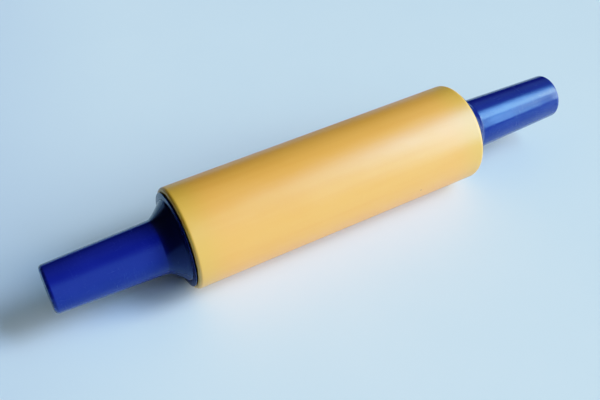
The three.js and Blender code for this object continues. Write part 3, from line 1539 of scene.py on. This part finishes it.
@dataclass(frozen=True)
class Bearing:
    """The flanged bush in a hub, and the thrust ring between it and the handle."""

    layout: Layout
    line: SpindleLine
    edge: float = 0.15
    chamfer: float = 0.4
    columns: int = 128

    def bush(self) -> Surface:
        """Turns the bush, with a rounded lead at both ends of its bore and at its inner end.

        Returns:
            The bush at the origin.
        """
        line = self.line
        end = line.hub_boss_end + GAPS.seat
        bore = line.spindle_radius + GAPS.running
        corners = [
            [end, line.bush_radius], [line.bush_flange_back, line.bush_radius],
            [line.bush_flange_back, line.bush_flange_radius],
            [line.bush_face, line.bush_flange_radius],
            [line.bush_face, bore], [end, bore],
        ]
        edge, chamfer = self.edge, self.chamfer
        return turned(rounded(corners, [chamfer, edge, edge, edge, chamfer, chamfer]), self.columns)

    def ring(self) -> Surface:
        """Turns the thrust ring.

        Returns:
            The ring at the origin.
        """
        line = self.line
        bore = line.spindle_radius + GAPS.seat
        corners = [
            [line.ring_back, line.bush_flange_radius], [line.ring_face, line.bush_flange_radius],
            [line.ring_face, bore], [line.ring_back, bore],
        ]
        return turned(rounded(corners, [self.edge] * len(corners)), self.columns)

    def build(self, side: Side, finishes: Finishes) -> None:
        """Makes a bush and its thrust ring at an end of the sleeve.

        Args:
            side: The end.
            finishes: The materials.
        """
        name = side.label
        bush = Piece(f"{name}_flanged_bush", f"{name}_bush", Body.SLEEVE, "bearing_plastic")
        bush.build(self.layout.at_end(self.bush(), side), finishes.bearing)
        ring = Piece(f"{name}_thrust_ring", f"{name}_thrust_washer", Body.CORE, "bearing_plastic")
        ring.build(self.layout.at_end(self.ring(), side), finishes.bearing)


@dataclass(frozen=True)
class Spindle:
    """The rod through the sleeve, with two flats and a tapped hole at each end."""

    layout: Layout
    line: SpindleLine
    shoulder_fillet: float = 0.15
    chamfer: float = 0.5
    hole_runout: float = 2.0
    drill_point: float = 1.2
    columns: int = 192

    def rod(self) -> Surface:
        """Turns the rod, whose outline starts and ends on the axis at the bottoms of the holes.

        Returns:
            The rod at the origin.
        """
        half, line = self.layout.half_length, self.line
        shoulder = half + line.ring_face
        end = half + line.socket_end - GAPS.seat
        bottom = half + line.screw_tip - self.hole_runout
        wide, hole, flat = line.spindle_radius, line.screw_hole, line.spindle_flat
        narrow = wide - self.chamfer
        mouth = hole + self.chamfer / 2
        rows = np.array([
            [shoulder - self.shoulder_fillet, wide, np.inf], [shoulder, wide, flat],
            [end - self.chamfer, wide, flat], [end, narrow, flat],
            [end, mouth, np.inf], [end - self.chamfer / 2, hole, np.inf],
            [bottom, hole, np.inf], [bottom - self.drill_point, 0, np.inf],
        ])
        rows = np.concatenate((rows[::-1] * [-1, 1, 1], rows))
        return turned(rows[:, :2], self.columns, Pole.ON_AXIS, rows[:, 2])

    def build(self, finishes: Finishes) -> None:
        """Makes the spindle."""
        piece = Piece("spindle_rod", "spindle", Body.CORE, "spindle_steel")
        piece.build(self.layout.centred(self.rod()), finishes.spindle)


@dataclass(frozen=True)
class Fastener:
    """The pan-head screw that holds a handle on the spindle, and its washer.

    The thread's end is measured outwards from the end of the sleeve, and the heights from the
    underside of the head. Above its straight side the head has a narrow shoulder, and the domed
    crown starts inside that.
    """

    layout: Layout
    line: SpindleLine
    lead: float = 0.5
    pitch: float = 0.7
    thread_depth: float = 0.38
    thread_end: float = 9.5
    thread_rows: int = 160
    head_radius: float = 4.0
    head_height: float = 2.6
    head_edge: float = 0.1
    side_height: float = 1.56
    shoulder_height: float = 1.82
    shoulder_radius: float = 3.96
    crown_radius: float = 3.76
    crown_drop: float = 0.65
    crown_rows: int = 48
    recess_width: float = 0.9
    recess_span: float = 4.4
    recess_depth: float = 1.3
    recess_slope: float = 0.25
    washer_radius: float = 4.5
    washer_edge: float = 0.12
    columns: int = 96

    def shank(self) -> tuple[np.ndarray, np.ndarray]:
        """Works out the threaded shank.

        At the place x and the angle a, the radius is the screw's less the thread's depth times
        a wave of x / pitch - a / full turn, which rises and falls evenly between 0 and 1. The
        wave fades out at the thread's end, and the radius shrinks along the lead at the tip.

        Returns:
            Places along the axis and radii, by row and column.
        """
        tip = self.line.screw_tip
        angle = np.arange(self.columns) * FULL_TURN / self.columns
        along = np.linspace(tip, self.thread_end, self.thread_rows)[:, None]
        wave = np.abs(2 * np.mod(along / self.pitch - angle / FULL_TURN, 1) - 1)
        fade = np.clip((self.thread_end - along) / self.pitch, 0, 1)
        lead = np.clip(1 - (along - tip) / self.lead, 0, 1) * self.lead
        radius = self.line.screw_radius - np.maximum(self.thread_depth * wave * fade, lead)
        return np.repeat(along, self.columns, axis=1), radius

    def crown(self) -> tuple[np.ndarray, np.ndarray]:
        """Works out the top of the pan head with its cross recess.

        The top lies at the head's height less the crown's drop times the square of the share of
        its radius. The recess lowers it where the smaller of the two distances across is inside
        half the recess's width and the larger is inside half its span. Its walls slope, and half
        the slope lies on each side of those limits.

        Returns:
            Places along the axis and radii, by row and column.
        """
        angle = np.arange(self.columns) * FULL_TURN / self.columns
        share = np.linspace(1, 0, self.crown_rows)[:, None]
        radius = np.repeat(share * self.crown_radius, self.columns, axis=1)
        across, over = np.abs(radius * np.cos(angle)), np.abs(radius * np.sin(angle))
        in_width = (self.recess_width / 2 - np.minimum(across, over)) / self.recess_slope
        in_span = (self.recess_span / 2 - np.maximum(across, over)) / self.recess_slope
        cut = np.clip(np.minimum(in_width, in_span) + 0.5, 0, 1)
        top = self.line.head_back + self.head_height - self.crown_drop * share ** 2
        return top - cut * self.recess_depth, radius

    def screw(self) -> Surface:
        """Covers the screw: its tip, its shank, the underside and side of its head, and the top.

        Returns:
            The screw at the origin.
        """
        back = self.line.head_back
        side = np.array([
            [self.thread_end + self.pitch, self.line.screw_radius],
            [back, self.line.screw_radius],
            [back, self.head_radius - self.head_edge],
            [back + self.head_edge, self.head_radius],
            [back + self.side_height, self.head_radius],
            [back + self.shoulder_height, self.shoulder_radius],
        ])
        tip = np.array([[self.line.screw_tip, 0.0]])
        shank, crown = self.shank(), self.crown()
        along, radius = (
            np.concatenate([
                np.repeat(tip[:, index:index + 1], self.columns, axis=1),
                shank[index],
                np.repeat(side[:, index:index + 1], self.columns, axis=1),
                crown[index],
            ])
            for index in (0, 1)
        )
        return skin(along, radius, Pole.ON_AXIS)

    def washer(self) -> Surface:
        """Turns the washer under the screw's head.

        Returns:
            The washer at the origin.
        """
        line = self.line
        corners = [
            [line.washer_back, self.washer_radius], [line.washer_face, self.washer_radius],
            [line.washer_face, line.screw_hole], [line.washer_back, line.screw_hole],
        ]
        return turned(rounded(corners, [self.washer_edge] * len(corners)), self.columns)

    def build(self, side: Side, finishes: Finishes) -> None:
        """Makes a screw and its washer at an end of the roller.

        Args:
            side: The end.
            finishes: The materials.
        """
        name = side.label
        screw = Piece(f"{name}_pan_screw", f"{name}_screw", Body.CORE, "fastener_steel")
        screw.build(self.layout.at_end(self.screw(), side), finishes.fastener)
        washer = Piece(f"{name}_steel_washer", f"{name}_screw_washer", Body.CORE, "fastener_steel")
        washer.build(self.layout.at_end(self.washer(), side), finishes.fastener)


# The studio


@dataclass(frozen=True)
class Pane:
    """A soft-edged patch of light in the directions round the roller.

    A direction is read as its share along X and its turn about X in degrees. The turn is 0 at
    the level of the table towards the viewer, a quarter turn straight up, and half a turn at
    the back. Each range has four places: the light begins at the first, is full from the second
    to the third, and ends at the fourth.
    """

    along: tuple[float, float, float, float]
    turn: tuple[float, float, float, float]
    colour: Colour
    strength: float

    def shade(self, nodes: Nodes, along: Socket, turn: Socket) -> Socket:
        """Makes the patch.

        Args:
            nodes: Where the nodes go.
            along: The share of a direction along X.
            turn: The turn of a direction about X, in degrees.

        Returns:
            A background that gives light inside the patch only.
        """
        cover = self.strength
        for value, (begin, full, fade, end) in ((along, self.along), (turn, self.turn)):
            cover = nodes.product(nodes.between(value, begin, full), cover)
            cover = nodes.product(nodes.between(value, fade, end, 1.0, 0.0), cover)
        inputs = {"Color": (*self.colour, 1.0), "Strength": cover}
        return nodes.node("ShaderNodeBackground", inputs).outputs[0]


@dataclass(frozen=True)
class StudioLight:
    """A tall soft window to the right, made of five panes, and a dim room in front and behind."""

    window: tuple[Pane, ...] = (
        Pane((0.48, 0.58, 0.68, 0.72), (46, 55, 67, 103), (0.35, 0.60, 1.0), 18.5),
        Pane((0.575, 0.60, 0.645, 0.69), (3, 11, 37, 48), (0.35, 0.60, 1.0), 13.5),
        Pane((0.585, 0.60, 0.66, 0.70), (36, 45, 49, 58), (0.30, 0.60, 1.0), 9.0),
        Pane((0.70, 0.75, 0.88, 0.96), (0, 10, 40, 56), (0.82, 0.93, 1.0), 16.0),
        Pane((0.70, 0.75, 0.88, 0.96), (42, 52, 63, 84), (0.94, 1.0, 0.93), 18.5),
    )
    room: tuple[Pane, ...] = (
        Pane((-0.60, -0.10, 0.34, 0.54), (-12, 2, 40, 75), (0.60, 0.70, 0.86), 1.05),
        Pane((0.35, 0.45, 0.75, 0.90), (86, 100, 132, 165), (0.70, 1.0, 0.75), 0.34),
        Pane((-0.95, -0.60, 0.70, 0.90), (86, 105, 140, 172), (1.0, 0.88, 0.40), 0.14),
    )

    def build(self) -> None:
        """Makes the world, whose light is the sum of the panes."""
        world = bpy.data.worlds.new("studio_light")
        world.use_nodes = True
        bpy.context.scene.world = world
        world.node_tree.nodes.clear()
        nodes = Nodes(world.node_tree)
        direction = nodes.node("ShaderNodeTexCoord", {}).outputs["Generated"]
        along, back, up = nodes.apart(direction)
        turn = nodes.math("DEGREES", nodes.math("ARCTAN2", up, nodes.product(back, -1.0)))
        light, *others = [pane.shade(nodes, along, turn) for pane in self.window + self.room]
        for other in others:
            light = nodes.node("ShaderNodeAddShader", {0: light, 1: other}).outputs[0]
        nodes.node("ShaderNodeOutputWorld", {"Surface": light})


@dataclass(frozen=True)
class Studio:
    """The table, the light and the camera.

    The camera's heading is turned from +Y towards +X, and its dip is below the level, both in
    degrees. The focal length is in pixels of the photograph, and the clip start in metres.
    """

    table_size: float = 12000.0
    table_lines: int = 9
    camera_place: Triple = (-125.56, -206.68, 256.63)
    camera_heading: float = 28.932
    camera_dip: float = 45.593
    clip_start: float = 0.01
    focal_pixels: float = 837.2
    photo_width: float = 600.0
    sensor_width: float = 36.0
    tone_curve: tuple[tuple[float, float], ...] = (
        (0.0, 0.0), (0.01, 0.002), (0.02, 0.0055), (0.04, 0.016), (0.07, 0.043), (0.12, 0.098),
        (0.20, 0.192), (0.30, 0.30), (0.60, 0.595), (0.80, 0.765), (1.0, 0.875),
    )

    def build_table(self) -> None:
        """Makes the table's flat top, as a grid that is even in both directions."""
        line = np.linspace(-self.table_size / 2, self.table_size / 2, self.table_lines)
        across, away = np.meshgrid(line, line, indexing="ij")
        points = np.stack((across, away, np.zeros_like(across)), axis=-1).reshape(-1, 3)
        number = np.arange(len(points)).reshape(across.shape)
        corners = (number[:-1, :-1], number[1:, :-1], number[1:, 1:], number[:-1, 1:])
        faces = np.stack(corners, axis=-1).reshape(-1, 4)
        mesh = filled_mesh("table_top", Surface(points, (faces,)))
        mesh.materials.append(TableTop().material())
        table = bpy.data.objects.new("table_top", mesh)
        bpy.context.scene.collection.objects.link(table)

    def build_camera(self) -> None:
        """Puts the camera at the photograph's viewpoint."""
        data = bpy.data.cameras.new("camera")
        data.sensor_width = self.sensor_width
        data.lens = self.sensor_width * self.focal_pixels / self.photo_width
        data.clip_start = self.clip_start
        camera = bpy.data.objects.new("camera", data)
        camera.location = [length * MM for length in self.camera_place]
        camera.rotation_euler = (
            math.radians(90 - self.camera_dip), 0, -math.radians(self.camera_heading),
        )
        bpy.context.scene.collection.objects.link(camera)
        bpy.context.scene.camera = camera

    def set_tones(self) -> None:
        """Gives the picture a camera's response: deeper darks and softer lights."""
        view = bpy.context.scene.view_settings
        view.view_transform = "Standard"
        view.use_curve_mapping = True
        curve = view.curve_mapping.curves[COMBINED_CURVE]
        for light, shown in self.tone_curve[1:-1]:
            curve.points.new(light, shown)
        curve.points[0].location = self.tone_curve[0]
        curve.points[-1].location = self.tone_curve[-1]
        view.curve_mapping.update()

    def build(self) -> None:
        """Makes the whole studio."""
        self.build_table()
        StudioLight().build()
        self.build_camera()
        self.set_tones()


def main() -> None:
    """Builds the dressed roller and its studio."""
    logging.basicConfig(level=logging.INFO, format="%(message)s")
    layout = Layout.measured()
    line = SpindleLine()
    sleeve = Sleeve(layout)
    handle = Handle(layout, line)
    finishes = Finishes(
        sleeve=SleevePlastic().material(layout.half_length),
        handle=HandlePlastic().material(layout, handle),
        hub=HUB_PLASTIC.material(),
        bearing=BEARING_PLASTIC.material(),
        spindle=SPINDLE_STEEL.material(),
        fastener=FASTENER_STEEL.material(),
    )
    sleeve.build(finishes)
    for side in Side:
        handle.build(side, finishes)
        EndCap(handle).build(side, finishes)
        Hub(sleeve, line).build(side, finishes)
        Bearing(layout, line).build(side, finishes)
        Fastener(layout, line).build(side, finishes)
    Spindle(layout, line).build(finishes)
    Studio().build()


if __name__ == "__main__":
    main()
